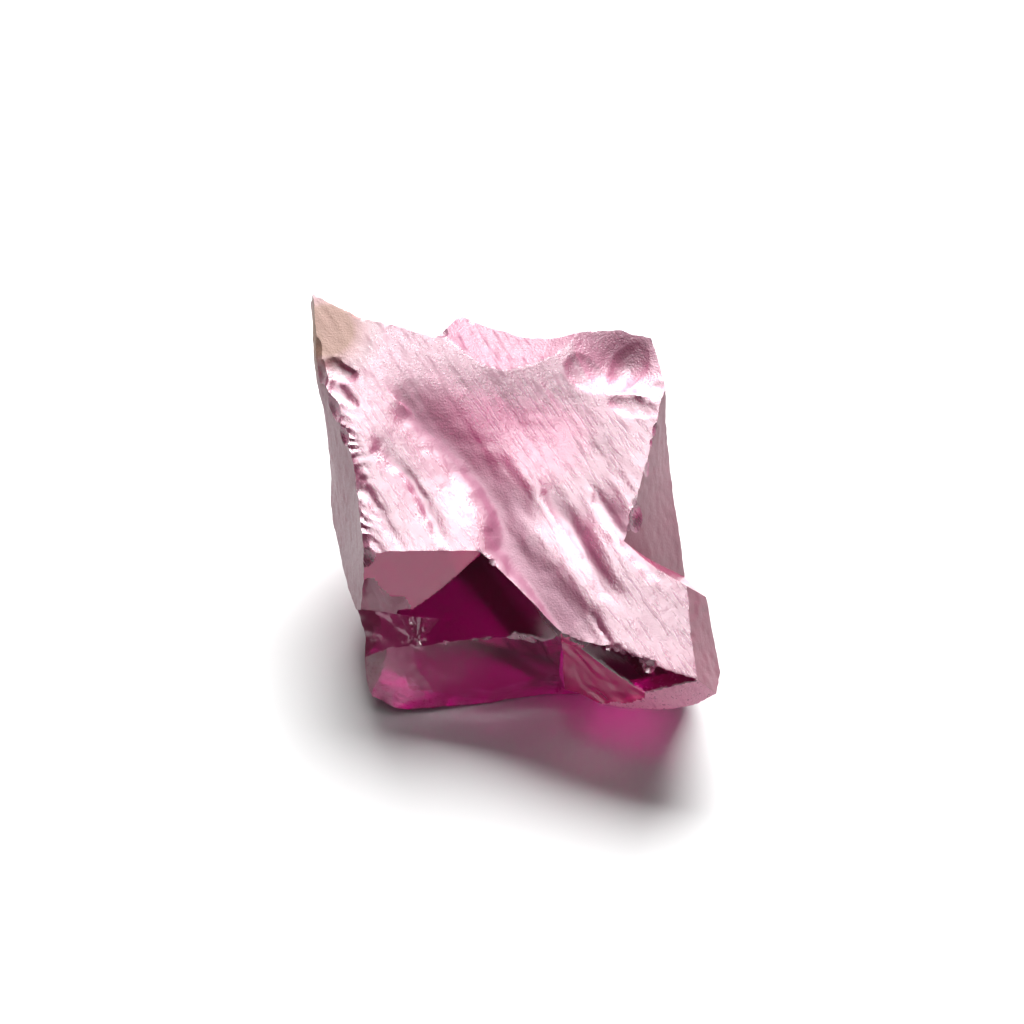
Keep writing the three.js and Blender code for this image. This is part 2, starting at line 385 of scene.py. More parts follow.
class AllOf:
    """The stone ends only where all of these fractures do."""

    def __init__(self, *parts):
        self.parts = parts


def upper_face():
    """The large furrowed face, the bevel behind it and the broken corner at the top right."""
    top = Sheet(Finish(0.18, milk=0.33), furrowed, (0, 0.36, 0.93), spike, rim_notch, bevel_west, bevel_east,
                back_corner, (4.35, 3.8, 1), left_high, left_middle, (-4.9, -1.05, 3.05), (-2.8, 2.45, 1.35),
                (-0.4, 2.1, 1.2), (2.3, -0.25, 2.15), apex, ridge_bend, ridge_east, front_corner,
                (6.25, -2.6, 3.6), step_top)
    bevel = Sheet(Finish(0.45, milk=0.33), rippled(0.005, 0.6, (-2, 7, 0)), (0, 0.38, 0.93), peak, rim_dip,
                  rim_saddle, (-2.15, 6, 0.3), bevel_west, bevel_east, (2.1, 5.9, 0.3), (-4.15, 6.9, 0.8),
                  (4.4, 6.55, 0.8))
    shell = Sheet(Finish(0.25, milk=0.38), cornered, (0.1, 0.54, 0.84), (2.5, 6.15, 0.05), (2.25, 5.3, 0.45),
                  (3.05, 4.1, 0.85), (4.05, 3.95, 0.95), (5.1, 3.95, 1), (3.8, 6.3, -0.05), (4.95, 6.05, 0),
                  (4, 4.95, 0), (1.65, 4.5, 1.4), (3.3, 2.75, 2.15), (5.35, 2.75, 2.15))
    return AnyOf(top, bevel, shell)


def notch():
    """The glassy notch in front, with a low torn end at its left."""
    glassy = Sheet(Finish(0.05), glassy_smooth, (-0.33, -0.21, 0.92), apex, ridge_bend, ridge_east,
                   (6, -5.6, 4.55), valley_foot, lobe_top, lip_middle, lip_east, (3.55, -5.1, 3.97),
                   hackle_foot)
    left = Sheet(Finish(0.08, blush=0.5), glassy_smooth, (0.04, -0.56, 0.83), apex, (-4, -1.35, 3.1),
                 valley_foot)
    low = Sheet(Finish(0.08, blush=0.2), fanned(0.08, 16, (-4.9, -1.4)), (-0.12, -0.69, 0.71),
                (-4.95, -1.8, 3), (-4.1, -2.6, 2.3), (-3.2, -3.55, 1.6), (-4.95, -3.4, 1.4))
    return AllOf(glassy, AnyOf(left, low))


def left_side():
    """The weathered flank at the left, and the break under it."""
    flank = Sheet(WEATHERED, worn, (-0.96, -0.12, 0.25), spike, (-6.7, 6.1, 0.3), left_high, left_middle,
                  left_low, (-5, -3.45, 2.2), flank_high, flank_middle, flank_low)
    under = Sheet(Finish(0.3, skin=0.5, milk=0.05, blush=0.2), rippled(0.018, 1.1, (-6, 4, -2)),
                  (-0.9, -0.19, -0.39), (-7, 7.4, -1.2), (-6.5, 4.15, -0.5), flank_high, flank_middle,
                  flank_low, (-5.45, -3.15, 0.3), (-5.1, -4.1, 1.2), (-5.05, -4.9, 0.7), (-5.05, -5.8, 0.1),
                  (-4.85, -6.4, 0), (-3.8, -4, -3.05), (-4.2, 2.5, -4.6))
    return AnyOf(flank, under)


def back_side():
    """The hidden breaks at the back, with the small peak on their rim."""
    left = Sheet(Finish(0.22, milk=0.05, blush=0.2), rippled(0.022, 1.3, (-6.5, 7.5, -1)), (0.4, 0.85, -0.34),
                 (-7, 7.6, -0.4), rim_west, rim_middle, rim_notch, (-3.5, 4.6, -3.2), (-1, 4.4, -3.2),
                 (2, 2, -3))
    beside_peak = Sheet(Finish(0.2, milk=0.05, blush=0.15), worn, (-0.77, 0.62, -0.14), rim_notch, peak,
                        (-2.4, 5.6, -3))
    right = Sheet(Finish(0.18, milk=0.04, blush=0.15), rippled(0.02, 1.2, (5, 6, 0)), (0.12, 0.88, -0.45),
                  peak, rim_dip, rim_saddle, (2.1, 6.15, 0.1), rim_east, back_corner, (-1, 5, -3.2),
                  (3, 4.6, -3.2))
    low = Sheet(Finish(0.25, milk=0.05, blush=0.25), rippled(0.03, 1.5, (0, 5, -6)), (0.1, 0.3, -0.95),
                (-3.4, 0.8, -7.8), (0.4, -0.5, -6.6), (3.6, 0.4, -7.5), (-2.4, 3.9, -6), (2.8, 3.3, -6.6),
                (0.3, 2.4, -6.3))
    return AnyOf(AllOf(left, AnyOf(beside_peak, right)), low)


def right_side():
    """The weathered side at the right, the flake off its edge, and the breaks under it and at the tongue."""
    flake = Sheet(WEATHERED, worn, (0.85, -0.01, 0.52), flake_high, flake_middle, step_top,
                  (5.8, -1.15, -0.3), (5.4, 1.8, -0.2))
    step = Sheet(Finish(0.15, milk=0.1, blush=0.3), glassy_smooth, (0.57, 0.82, 0.07), step_top,
                 (4.7, -1.8, 3.1), (5.8, -2.45, 3.4), (4.7, -1.65, 1.5), (6, -2.35, 0.3))
    side = Sheet(WEATHERED, worn, (0.99, 0.13, -0.08), back_corner, (5.15, 4.55, 0.3), (5.35, 3.1, 0.6),
                 (5.4, 1.85, -0.2), (5.7, -0.3, -0.4), (6, -2.3, -0.4), (4.7, 3.4, -3.2), (5.7, -2, -3))
    low = Sheet(Finish(0.25, skin=0.15, milk=0.05, blush=0.25), rippled(0.025, 1.4, (6, -2, -1)),
                (0.86, -0.1, -0.5), (5.4, 2.2, -1.7), (5.75, -0.6, -2.2), (6.1, -2.8, -1.2),
                (3.5, -1.5, -5.6), (2.4, 1.6, -8.6))
    tongue_end = Sheet(WEATHERED, worn, (0.83, 0.24, 0.5), (5.9, -2.65, 3.5), front_corner,
                       (6.55, -2.8, 2.6), (6.75, -4.3, 2.8), (6.85, -5.45, 3.2), (6.9, -5.9, 3.6))
    return AnyOf(AllOf(flake, step), side, low, tongue_end)


def resting_foot():
    """The flat foot, level once the stone leans back."""
    down = np.array([0, -math.sin(LEAN), -math.cos(LEAN)])
    uphill = np.array([0, math.cos(LEAN), -math.sin(LEAN)])
    centre = down * REST_DEPTH
    # Its dark skin holds back light from below, so the stone looks darker towards its bottom: painted shade.
    return Sheet(Finish(0.5, skin=0.8, blush=0.2), flat, down, centre, centre + uphill, centre + (1, 0, 0))


def front_lobe():
    """The lobe under the notch: a mauve slope, the bulge at the left, the undercut beside it and a chip."""
    mauve = Sheet(Finish(0.12), glassy_smooth, (-0.1, -0.73, 0.68), lobe_top, lip_middle, lip_east,
                  lobe_waist, scoop_west, scoop_east, (-4.3, -4.7, 1.4), (-4.35, -6.45, 0.3))
    bulge = Sheet(Finish(0.15), fanned(0.03, 26, (-3.4, -4.2)), (-0.31, -0.64, 0.7), lobe_top, lobe_waist,
                  (-4.35, -4.7, 0.9), (-3.85, -6.85, 0), (-2.35, -6.75, -0.05), (-1.15, -6.5, 0.5),
                  (0.25, -5.3, 3), (0.25, -3.2, 4.5), (-5.05, -5.45, 0.3))
    undercut = Sheet(Finish(0.2), worn, (0.11, -0.87, 0.48), (-2.2, -5.75, 0.75), scoop_west, scoop_east,
                     (1.8, -5.8, 0.8), (-1.65, -6.7, -0.35), (-0.35, -6.5, -0.5), (1.15, -6.25, -0.6),
                     (-3.8, -6.1, 1), (-3.85, -6.85, 0.4))
    # Its dark skin holds back light under the lobe, so the stone looks darker at its bottom front: painted
    # shade.
    chamfer = Sheet(Finish(0.3, skin=0.7), worn, (-0.04, -0.78, -0.62), (-4.65, -6.6, 0.1),
                    (-3.7, -6.9, 0.05), (-2.35, -6.75, -0.1), (-1.45, -6.65, -0.3), (-3.5, -5.9, -1.15),
                    (0, -5.9, -1.15))
    chip = Sheet(Finish(0.12, milk=0.1), fanned(0.06, 20, (-3.2, -4.4)), (-0.53, 0.02, 0.85),
                 (-2.3, -3.6, 2.15), lobe_top, (-4.35, -4.35, 0.9))
    chip_wall = Sheet(Finish(0.15), worn, (-0.08, -1, 0.04), (-4.55, -3.4, 2), (-2.3, -3.6, 2),
                      (-4.65, -3.5, -1))
    return AnyOf(mauve, bulge, undercut, chamfer, AllOf(chip, chip_wall))


def overhanging_tongue():
    """The tongue that juts out at the lower right: hackled and pale in front, and hollow under."""
    hackled = Sheet(Finish(0.12, blush=0.45), fanned(0.04, 28, (1.2, -4)), (-0.5, -0.6, 0.63),
                    (1.75, -4.35, 3.45), hackle_foot, (2.3, -6.2, 2))
    left = Sheet(Finish(0.15), worn, (-0.96, -0.24, 0.14), (1.6, -4.3, 3.3), (1.8, -5.9, 2),
                 (1.4, -5.3, 0))
    lens = Sheet(Finish(0.3, milk=0.6), glassy_smooth, (-0.05, -0.91, 0.42), (4.25, -6.4, 3.3),
                 (4.65, -6.2, 3.8), (5.15, -5.95, 4.1), (6.75, -5.8, 4.2), (5.4, -6.55, 3.3), tongue_root)
    underside = Sheet(Finish(0.25, blush=0.25), rippled(0.02, 1.0, (5, -6, 3)), (0.39, -0.81, -0.44),
                      (2, -6.05, 2), tongue_root, (4.6, -6.65, 3.1), (6.05, -6.4, 3.4), (6.85, -5.9, 3.8),
                      (3.5, -4.4, -2.6), (6, -3, -0.5), (1.5, -6.3, -0.8))
    return AnyOf(hackled, left, lens, underside)


def chipped_edge(corners, out, seed, count, bite, size):
    """Chips of about that size, bite deep at most, scattered along an edge. out points out of the stone."""
    random = np.random.default_rng(seed)
    corners = np.array(corners, float)
    out = np.array(out, float) / np.linalg.norm(out)
    spots = np.sort(random.uniform(0, len(corners) - 1.001, count))
    start = spots.astype(int)
    share = (spots - start)[:, None]
    edge = corners[start] * (1 - share) + corners[start + 1] * share
    radii = size * random.uniform(0.5, 1.4, count)
    tilt = out + random.normal(0, 0.35, (count, 3))
    tilt /= np.linalg.norm(tilt, axis=1, keepdims=True)
    depth = bite * random.uniform(0.3, 1, count)
    return Scallops(CHIPPED, edge + tilt * (radii - depth)[:, None], radii)


def chipped_edges():
    """The battered edges: at the left of the large face, on its ridge, lip, flake and rim."""
    left = (left_high, left_middle, (-5.1, 0.3, 2.6), left_low)
    whole_left = ((-6.55, 5.6, 0.5), *left)
    ridge = (apex, (0.6, -2.5, 3.5), ridge_bend, ridge_east)
    lip = ((-2.6, -4.4, 1.9), lip_middle, lip_east)
    flake = (flake_high, flake_middle, step_top)
    rim = (rim_west, rim_middle, rim_notch, peak, rim_dip, rim_saddle)
    return AnyOf(chipped_edge(whole_left, out=(-0.6, 0, 0.8), seed=11, count=9, bite=0.1, size=1),
                 chipped_edge(left, out=(-0.6, 0, 0.8), seed=12, count=20, bite=0.07, size=0.7),
                 chipped_edge(ridge, out=(-0.3, -0.2, 0.9), seed=13, count=40, bite=0.07, size=0.18),
                 chipped_edge(lip, out=(0, -0.7, 0.7), seed=14, count=14, bite=0.04, size=0.22),
                 chipped_edge(flake, out=(0.6, 0, 0.8), seed=15, count=7, bite=0.03, size=0.7),
                 chipped_edge(rim, out=(0, 0.8, 0.5), seed=16, count=14, bite=0.05, size=0.3))


def ruby():
    """All the fractures of the stone, cut out of each other."""
    front = AllOf(front_lobe(), overhanging_tongue())
    return AnyOf(upper_face(), notch(), left_side(), back_side(), right_side(), resting_foot(), front,
                 chipped_edges())


def leaves(node):
    """The fractures of a tree of cuts, in order."""
    if isinstance(node, (AnyOf, AllOf)):
        return [leaf for part in node.parts for leaf in leaves(part)]
    return [node]


def measure(node, points, number=0):
    """(how far points are outside the stone, the number of the fracture that decides it)."""
    if not isinstance(node, (AnyOf, AllOf)):
        return node.outside(points), np.full(len(points), number, np.int16)
    values = []
    numbers = []
    for part in node.parts:
        value, which = measure(part, points, number)
        values.append(value)
        numbers.append(which)
        number += len(leaves(part))
    values = np.stack(values)
    chosen = values.argmax(0) if isinstance(node, AnyOf) else values.argmin(0)
    chosen = chosen[None]
    numbers = np.stack(numbers)
    return np.take_along_axis(values, chosen, 0)[0], np.take_along_axis(numbers, chosen, 0)[0]


# ---- Meshing: dual contouring, which keeps the edges between fractures sharp ----

def grid_values(stone):
    """The stone measured on the grid points near its surface, and nan elsewhere."""
    reach = 1.3
    coarse_cell = CELL * COARSE
    count = np.ceil((BLANK_HIGH - BLANK_LOW) / coarse_cell).astype(int) + 1
    coarse_points = BLANK_LOW + coarse_cell * np.stack(np.indices(count + 1), -1)
    value = measure(stone, coarse_points.reshape(-1, 3))[0].reshape(count + 1)
    near = np.abs(value) < coarse_cell * reach
    cells = np.zeros(count, bool)
    for x, y, z in np.ndindex(2, 2, 2):
        cells |= near[x:count[0] + x, y:count[1] + y, z:count[2] + z]
    known = np.zeros(count * COARSE + 1, bool)
    starts = np.argwhere(cells) * COARSE
    for step in np.ndindex(*(COARSE + 1,) * 3):
        known[tuple((starts + step).T)] = True
    places = np.argwhere(known)
    values = np.full(known.shape, np.nan)
    for batch in np.array_split(places, len(places) // BATCH + 1):
        values[tuple(batch.T)] = measure(stone, BLANK_LOW + batch * CELL)[0]
    return values


def crossed_edges(values):
    """Grid edges that the surface crosses: the axis and first point of each, and whether that is inside."""
    inside = values < 0
    known = ~np.isnan(values)
    rows = []
    for axis in range(3):
        first = [slice(None)] * 3
        second = [slice(None)] * 3
        first[axis] = slice(0, -1)
        second[axis] = slice(1, None)
        first = tuple(first)
        second = tuple(second)
        found = np.argwhere(known[first] & known[second] & (inside[first] != inside[second]))
        rows.append(np.column_stack([np.full(len(found), axis), found, inside[tuple(found.T)]]))
    rows = np.concatenate(rows)
    return rows[:, 0], rows[:, 1:4], rows[:, 4].astype(bool)


def crossing_points(stone, values, axis, start):
    """Where the surface crosses each grid edge, and the fracture there, by three rounds of false position."""
    end = start + np.eye(3, dtype=int)[axis]
    origin = BLANK_LOW + start * CELL
    run = (end - start) * CELL
    low = np.zeros(len(start))
    high = np.ones(len(start))
    at_low = values[tuple(start.T)]
    at_high = values[tuple(end.T)]
    for _ in range(3):
        share = low + (high - low) * at_low / (at_low - at_high)
        points = origin + run * share[:, None]
        value, which = measure(stone, points)
        same = (value < 0) == (at_low < 0)
        low, at_low = np.where(same, share, low), np.where(same, value, at_low)
        high, at_high = np.where(same, high, share), np.where(same, at_high, value)
    return points, which


def slopes(stone, points, which):
    """The outward unit normal at surface points, from small differences of the fracture that each lies on."""
    reach = CELL * 0.25
    slope = np.zeros_like(points)
    for number, leaf in enumerate(leaves(stone)):
        mine = which == number
        if not mine.any():
            continue
        for axis in range(3):
            shift = reach * np.eye(3)[axis]
            slope[mine, axis] = leaf.outside(points[mine] + shift) - leaf.outside(points[mine] - shift)
    return slope / np.linalg.norm(slope, axis=1, keepdims=True)


def outer_patch(values, cell_places):
    """For each cell and each of its 8 corners, the lowest corner joined to it through outer corners.
    Two sides of a thin edge that pass through one cell so get a vertex each. Four rounds join them all."""
    corners = list(np.ndindex(2, 2, 2))
    outer = np.stack([values[tuple((cell_places + corner).T)] >= 0 for corner in corners], 1)
    label = np.where(outer, np.arange(8), 8)
    for _ in range(4):
        for first in range(8):
            for axis in (4, 2, 1):
                second = first ^ axis
                both = outer[:, first] & outer[:, second]
                lowest = np.minimum(label[:, first], label[:, second])
                label[:, first] = np.where(both, lowest, label[:, first])
                label[:, second] = np.where(both, lowest, label[:, second])
    return label


def settle(points, normals, owner, keys, shape):
    """One vertex for each patch: the place nearest to its crossings' tangent planes, kept in its cell."""
    stiffness = 0.06
    total = len(keys)
    count = np.bincount(owner, minlength=total)
    mean = np.stack([np.bincount(owner, points[:, i], total) for i in range(3)], 1) / count[:, None]
    offset = (normals * (points - mean[owner])).sum(1)
    matrix = np.zeros((total, 3, 3))
    target = np.zeros((total, 3))
    for i in range(3):
        target[:, i] = np.bincount(owner, normals[:, i] * offset, total)
        for j in range(3):
            matrix[:, i, j] = np.bincount(owner, normals[:, i] * normals[:, j], total)
    matrix += np.eye(3) * (stiffness * count[:, None, None])
    moved = mean + np.linalg.solve(matrix, target[..., None])[..., 0]
    cell_low = BLANK_LOW + np.stack(np.unravel_index(keys // 8, shape), 1) * CELL
    return np.clip(moved, cell_low, cell_low + CELL)


def contour(stone):
    """(vertices, quads, the fracture that each quad lies on) of the stone's surface, in millimetres."""
    values = grid_values(stone)
    axis, start, starts_inside = crossed_edges(values)
    points, which = crossing_points(stone, values, axis, start)
    normals = slopes(stone, points, which)
    outer_corner = start + np.eye(3, dtype=int)[axis] * starts_inside[:, None]
    rows = np.arange(len(start))
    patch = np.empty((len(points), 4), np.int64)
    for turn, (back_u, back_v) in enumerate([(0, 0), (1, 0), (1, 1), (0, 1)]):
        cell = start.copy()
        cell[rows, (axis + 1) % 3] -= back_u
        cell[rows, (axis + 2) % 3] -= back_v
        corner = (outer_corner - cell) @ (4, 2, 1)
        label = outer_patch(values, cell)[rows, corner]
        patch[:, turn] = np.ravel_multi_index(tuple(cell.T), values.shape) * 8 + label
    keys, quads = np.unique(patch.ravel(), return_inverse=True)
    member = np.repeat(np.arange(len(points)), 4)
    vertices = settle(points[member], normals[member], quads, keys, values.shape)
    quads = quads.reshape(-1, 4)
    quads[~starts_inside] = quads[~starts_inside][:, ::-1]
    return vertices, quads, which


# ---- The Blender object ----

def slab_to_world(vertices):
    """The turn and shift that lean the slab back, stand it on its foot and centre it on the CAD stone."""
    lean = Matrix.Rotation(LEAN, 4, "X")
    turned = vertices @ np.array(lean.to_3x3()).T
    middle = (turned.min(0) + turned.max(0)) / 2
    cad_low, cad_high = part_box("ruby_crystal")
    cad_middle = (cad_low + cad_high) / 2
    x = cad_middle.x - middle[0] * MM
    y = cad_middle.y - middle[1] * MM
    z = cad_low.z + REST_DEPTH * MM
    return Matrix.Translation((x, y, z)) @ lean @ Matrix.Scale(MM, 4)


def store_looks(mesh, stone, vertices, which):
    """Gives each face the finish of its fracture, and each vertex its place in the slab and its furrow."""
    for name in Finish._fields:
        values = np.array([getattr(leaf.finish, name) for leaf in leaves(stone)], np.float32)[which]
        mesh.attributes.new(name, "FLOAT", "FACE").data.foreach_set("value", values)
    # A furrow about 0.2 mm deep counts in full, and a scar less than a furrow. This share paints shade into
    # the pink there and dulls it.
    groove = np.clip(-5 * ploughed(vertices) - 2 * scarred(vertices) - 0.1, 0, 1).astype(np.float32)
    mesh.attributes.new("groove", "FLOAT", "POINT").data.foreach_set("value", groove)
    place = vertices.astype(np.float32).ravel()
    mesh.attributes.new("slab", "FLOAT_VECTOR", "POINT").data.foreach_set("vector", place)


def build_stone():
    """The stone, which rides on the CAD body and stands for the CAD stone. Returns it and its placing."""
    stone = ruby()
    vertices, quads, which = contour(stone)
    place = slab_to_world(vertices)
    mesh = bpy.data.meshes.new("ruby_fragment")
    mesh.from_pydata(vertices.tolist(), [], quads.tolist())
    store_looks(mesh, stone, vertices, which)
    mesh.transform(place)
    mesh.validate()
    mesh.shade_smooth()
    mesh.set_sharp_from_angle(angle=CREASE)
    piece = bpy.data.objects.new("ruby_fragment", mesh)
    bpy.context.scene.collection.objects.link(piece)
    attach(piece, "root")
    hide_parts("ruby_crystal")
    return piece, place


# ---- Shader nodes ----

def wire(tree, source, target):
    """Feeds a socket from another socket, or sets it to a value."""
    if isinstance(source, bpy.types.NodeSocket):
        tree.links.new(source, target)
    else:
        target.default_value = source


def add(tree, kind, **values):
    """A new shader node with its inputs, by name, set to values or fed from sockets."""
    node = tree.nodes.new(kind)
    for name, value in values.items():
        wire(tree, value, node.inputs[name.replace("_", " ")])
    return node


def stored(tree, name, output="Fac"):
    """A value that the mesh stores."""
    node = tree.nodes.new("ShaderNodeAttribute")
    node.attribute_name = name
    return node.outputs[output]


def noise(tree, place, **values):
    """Noise from 0 to 1."""
    return add(tree, "ShaderNodeTexNoise", Vector=place, **values).outputs["Fac"]


def slide(tree, value, low, high, at_low, at_high):
    """at_low where value is low, at_high where it is high, and straight between them."""
    ends = {"From_Min": low, "From_Max": high, "To_Min": at_low, "To_Max": at_high}
    return add(tree, "ShaderNodeMapRange", Value=value, **ends).outputs["Result"]


def arithmetic(tree, operation, *values):
    """One sum of sockets and numbers."""
    node = tree.nodes.new("ShaderNodeMath")
    node.operation = operation
    for value, socket in zip(values, node.inputs):
        wire(tree, value, socket)
    return node.outputs[0]


def amplified(tree, value):
    """A small share, such as milk or blush, made three times as strong, and 1 at most."""
    return arithmetic(tree, "MINIMUM", arithmetic(tree, "MULTIPLY", value, 3), 1)


def blend_colour(tree, share, first, second):
    """first where share is 0, second where it is 1. Both are sockets or colours."""
    node = tree.nodes.new("ShaderNodeMix")
    node.data_type = "RGBA"
    wire(tree, share, node.inputs["Factor"])
    for name, value in (("A", first), ("B", second)):
        socket = [i for i in node.inputs if i.name == name and i.type == "RGBA"][0]
        wire(tree, value, socket)
    return [o for o in node.outputs if o.type == "RGBA"][0]


# ---- The ruby: linear colours, absorption per metre, and places and sizes in the slab's millimetres ----

PALE_RUBY = (0.98, 0.56, 0.76, 1)
ROSE_RUBY = (0.9, 0.42, 0.62, 1)
MILKY_PINK = (0.97, 0.33, 0.53, 1)
# Painted shade: the deeper pink of the furrows and of the veins along the streaks, where the sheen misses
# them.
FURROW_SHADE_PINK = (0.62, 0.1, 0.28, 1)
BLUSH_RED = (0.85, 0.01, 0.22, 1)
# Dark brown skin: weathering on the sides, and painted shade on the foot and chamfer.
SKIN_AND_SHADE_BROWN = (0.05, 0.02, 0.012, 1)
STAIN_BROWN = (0.27, 0.13, 0.045, 1)
ABSORBED = (0.77, 0, 0.7, 1)
ABSORPTION = 620
CORUNDUM_IOR = 1.76
STAIN_CENTRE = (-6.4, 6.3, 0.3)
STREAK_SIZE = (0.9, 0.13, 0.5)
GRAIN_DEPTH = 0.024 * MM  # in metres, as the Bump node takes it


def flow_streaks(tree, place):
    """Fine streaks that run down the large face."""
    flowing = tree.nodes.new("ShaderNodeMapping")
    flowing.vector_type = "TEXTURE"
    flowing.inputs["Rotation"].default_value = (0, 0, math.atan2(FLOW[1], FLOW[0]))
    flowing.inputs["Scale"].default_value = STREAK_SIZE
    wire(tree, place, flowing.inputs["Vector"])
    return noise(tree, flowing.outputs["Vector"], Scale=1, Detail=2)


def stain_share(tree, place):
    """How stained the surface is: brown round the spike, and not at all further off."""
    distance = tree.nodes.new("ShaderNodeVectorMath")
    distance.operation = "DISTANCE"
    distance.inputs[1].default_value = STAIN_CENTRE
    wire(tree, place, distance.inputs[0])
    return slide(tree, distance.outputs["Value"], low=0.9, high=2.1, at_low=0.9, at_high=0)


def furrow_shade_and_dullness(tree, streaks, milk):
    """Where the milky face is painted a deeper pink as shade: in its furrows, and in thin veins along its
    streaks. The same share also dulls them.
    """
    veins = slide(tree, streaks, low=0.5, high=0.75, at_low=0, at_high=0.7)
    return arithmetic(tree, "MAXIMUM", stored(tree, "groove"), arithmetic(tree, "MULTIPLY", veins, milk))


def ruby_colour(tree, cloud, furrow, milk, blush, skin, stain):
    """Cloudy ruby, then milk with painted furrow shade, blush, skin and stain over it. The skin is weathering
    on the sides and painted shade on the foot and chamfer.
    """
    body = blend_colour(tree, arithmetic(tree, "MULTIPLY", cloud, 0.5), PALE_RUBY, ROSE_RUBY)
    # Painted shade: the milky pink turns deeper in the furrows and veins.
    pink = blend_colour(tree, furrow, MILKY_PINK, FURROW_SHADE_PINK)
    milky = blend_colour(tree, milk, body, pink)
    blushing = blend_colour(tree, blush, milky, BLUSH_RED)
    # Dark brown skin: weathering on the sides, painted shade on the foot and chamfer.
    with_skin_and_shade = blend_colour(tree, skin, blushing, SKIN_AND_SHADE_BROWN)
    return blend_colour(tree, stain, with_skin_and_shade, STAIN_BROWN)


def ruby_roughness(tree, place, cloud, furrow, frost, stain):
    """Frost in uneven specks, duller in the furrows, under the stain and in a haze towards the top."""
    uneven = arithmetic(tree, "MULTIPLY_ADD", noise(tree, place, Scale=9, Detail=3), 0.7, 0.65)
    height = tree.nodes.new("ShaderNodeSeparateXYZ")
    wire(tree, place, height.inputs[0])
    drifting = arithmetic(tree, "MULTIPLY_ADD", cloud, 2.5, height.outputs["Y"])
    haze = slide(tree, drifting, low=3.2, high=6, at_low=0, at_high=0.1)
    dull = arithmetic(tree, "MULTIPLY_ADD", furrow, 0.42, haze)
    frosted = arithmetic(tree, "ADD", arithmetic(tree, "MULTIPLY", frost, uneven), dull)
    return arithmetic(tree, "MAXIMUM", frosted, arithmetic(tree, "MULTIPLY", stain, 0.7))


def ruby_clearness(tree, milk, blush, skin, stain):
    """How much light passes: all of it but what skin, stain, milk or blush holds back."""
    covered = arithmetic(tree, "MAXIMUM", skin, arithmetic(tree, "MULTIPLY", stain, 0.9))
    covered = arithmetic(tree, "MAXIMUM", covered, arithmetic(tree, "MAXIMUM", milk, blush))
    return arithmetic(tree, "SUBTRACT", 1, covered)


def ruby_grain(tree, place, streaks, frost, milk):
    """The finest grain, deeper on frosted and milky faces. All that is larger is in the mesh."""
    grain = noise(tree, place, Scale=14, Detail=2, Roughness=0.6)
    rise = arithmetic(tree, "MULTIPLY_ADD", streaks, 0.35, grain)
    coarseness = arithmetic(tree, "MULTIPLY_ADD", milk, 6, 1.2)
    strength = arithmetic(tree, "MULTIPLY", frost, coarseness)
    bump = add(tree, "ShaderNodeBump", Distance=GRAIN_DEPTH, Strength=strength, Height=rise)
    return bump.outputs["Normal"]


def ruby_material():
    """Clear magenta corundum: absorption inside, and each fracture's own frost, skin, milk and blush."""
    material = bpy.data.materials.new("ruby")
    material.use_nodes = True
    tree = material.node_tree
    shader = tree.nodes["Principled BSDF"]
    place = stored(tree, "slab", "Vector")
    frost = stored(tree, "frost")
    skin = stored(tree, "skin")
    milk = stored(tree, "milk")
    blush = stored(tree, "blush")
    cloud = noise(tree, place, Scale=0.9, Detail=4)
    streaks = flow_streaks(tree, place)
    stain = stain_share(tree, place)
    milkiness = amplified(tree, milk)
    # The furrow share is painted shade in the colour and dullness in the roughness.
    furrow = furrow_shade_and_dullness(tree, streaks, milkiness)
    colour = ruby_colour(tree, cloud, furrow, milkiness, amplified(tree, blush), skin, stain)
    wire(tree, colour, shader.inputs["Base Color"])
    wire(tree, ruby_roughness(tree, place, cloud, furrow, frost, stain), shader.inputs["Roughness"])
    wire(tree, ruby_clearness(tree, milk, blush, skin, stain), shader.inputs["Transmission Weight"])
    wire(tree, ruby_grain(tree, place, streaks, frost, milk), shader.inputs["Normal"])
    shader.inputs["IOR"].default_value = CORUNDUM_IOR
    volume = add(tree, "ShaderNodeVolumeAbsorption", Color=ABSORBED, Density=ABSORPTION)
    wire(tree, volume.outputs["Volume"], tree.nodes["Material Output"].inputs["Volume"])
    return material


# ---- Studio ----

def floor():
    """A plain white table, a hair under the foot that the stone rests on."""
    half = 0.6
    mesh = bpy.data.meshes.new("floor")
    corners = [(x * half, y * half, -FLOOR_GAP) for x, y in ((-1, -1), (1, -1), (1, 1), (-1, 1))]
    mesh.from_pydata(corners, [], [(0, 1, 2, 3)])
    piece = bpy.data.objects.new("floor", mesh)
    bpy.context.scene.collection.objects.link(piece)
    material = bpy.data.materials.new("white_paper")
    material.use_nodes = True
    shader = material.node_tree.nodes["Principled BSDF"]
    shader.inputs["Base Color"].default_value = (0.64, 0.64, 0.64, 1)
    shader.inputs["Roughness"].default_value = 0.9
    mesh.materials.append(material)


def area_light(name, direction, width, length, radiance):
    """A soft light, seen from the origin in that direction, with its length up and down. Returns it."""
    data = bpy.data.lights.new(name, "AREA")
    data.shape = "RECTANGLE"
    data.size = width
    data.size_y = length
    data.energy = radiance * math.pi * width * length
    light = bpy.data.objects.new(name, data)
    bpy.context.scene.collection.objects.link(light)
    towards = Vector(direction).normalized()
    light.location = towards * LIGHT_DISTANCE
    light.rotation_euler = towards.to_track_quat("Z", "Y").to_euler()
    return light


def studio_lights():
    """A softbox overhead and a fill in front, which the table doesn't see, and a window at the back."""
    softbox = area_light("softbox", (-0.06, 0.05, 1), width=0.22, length=0.18, radiance=9.5)
    softbox.visible_diffuse = False
    fill = area_light("fill", (0, -0.42, 0.9), width=0.2, length=0.1, radiance=3)
    fill.visible_diffuse = False
    area_light("window", (0.12, 0.62, 0.75), width=0.22, length=0.2, radiance=21)


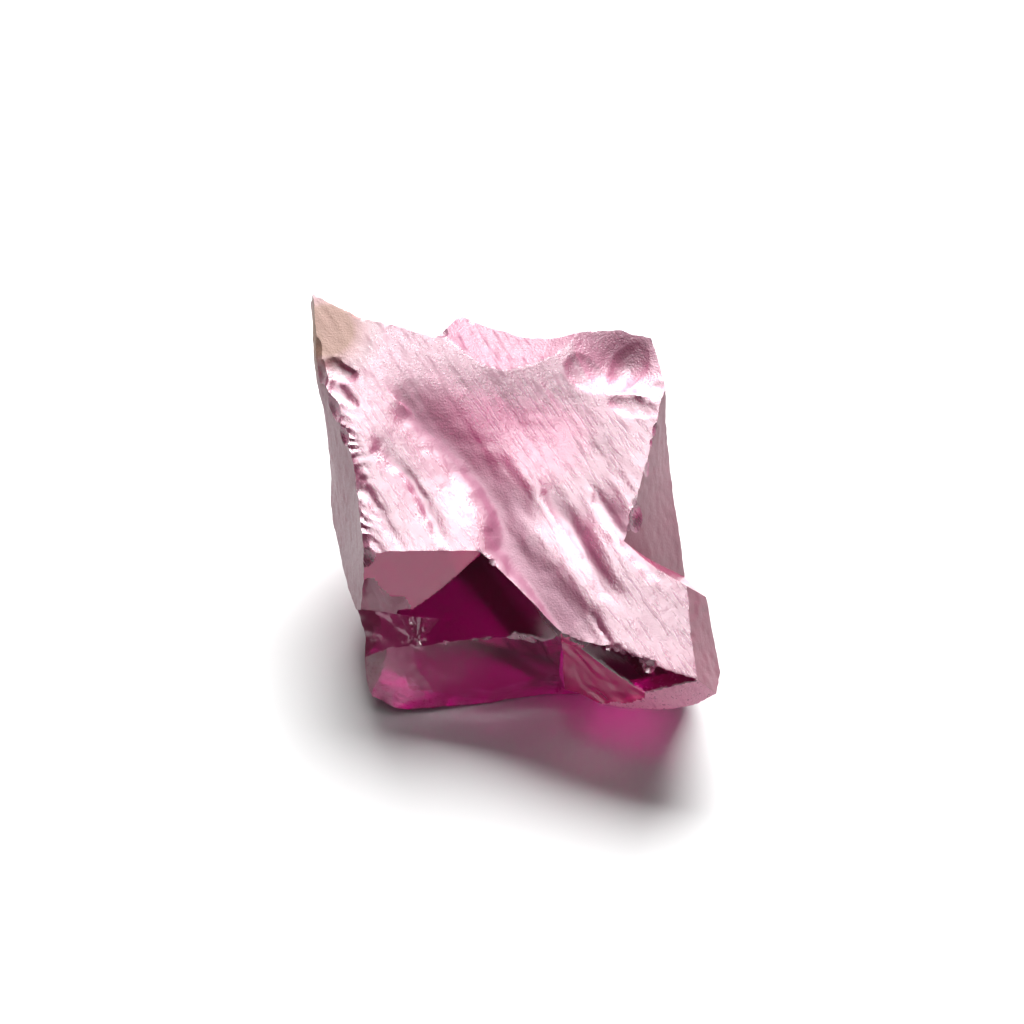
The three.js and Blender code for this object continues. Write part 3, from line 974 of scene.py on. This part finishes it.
def studio_world():
    """Soft surroundings: brighter behind the stone, dark on the viewer's side, and white to the camera."""
    world = bpy.data.worlds.new("studio")
    bpy.context.scene.world = world
    world.use_nodes = True
    tree = world.node_tree
    around = tree.nodes.new("ShaderNodeTexCoord")
    behind = tree.nodes.new("ShaderNodeVectorMath")
    behind.operation = "DOT_PRODUCT"
    behind.inputs[1].default_value = Vector((0.55, 0.75, 0.3)).normalized()
    wire(tree, around.outputs["Generated"], behind.inputs[0])
    glow = add(tree, "ShaderNodeMapRange", From_Min=-0.5, From_Max=0.5, To_Min=0.03, To_Max=0.22)
    glow.interpolation_type = "SMOOTHSTEP"
    wire(tree, behind.outputs["Value"], glow.inputs["Value"])
    ray = tree.nodes.new("ShaderNodeLightPath")
    seen = add(tree, "ShaderNodeMix", Factor=ray.outputs["Is Camera Ray"], A=glow.outputs["Result"], B=1)
    background = tree.nodes["Background"]
    wire(tree, seen.outputs["Result"], background.inputs["Strength"])
    background.inputs["Color"].default_value = (1, 1, 1, 1)


def camera(place):
    """Looks straight at the slab's large face, 45 degrees down."""
    data = bpy.data.cameras.new("camera")
    data.lens = 100
    data.sensor_width = 36
    data.clip_start = 0.005
    eye = bpy.data.objects.new("camera", data)
    bpy.context.scene.collection.objects.link(eye)
    eye.location = place @ Vector((0, 0, CAMERA_DISTANCE / MM))
    eye.rotation_euler = (LEAN, 0, 0)
    bpy.context.scene.camera = eye


def light_settings():
    """Enough bounces for light that is reflected many times inside the stone."""
    scene = bpy.context.scene
    scene.view_settings.view_transform = "Standard"
    scene.cycles.max_bounces = 24
    scene.cycles.transmission_bounces = 20
    scene.cycles.glossy_bounces = 8
    scene.cycles.diffuse_bounces = 4
    scene.cycles.caustics_reflective = True
    scene.cycles.caustics_refractive = True
    scene.cycles.blur_glossy = 0.3
    scene.cycles.sample_clamp_indirect = 8
    scene.cycles.use_denoising = True


stone_piece, stone_place = build_stone()
stone_piece.data.materials.append(ruby_material())
floor()
studio_world()
studio_lights()
camera(stone_place)
light_settings()
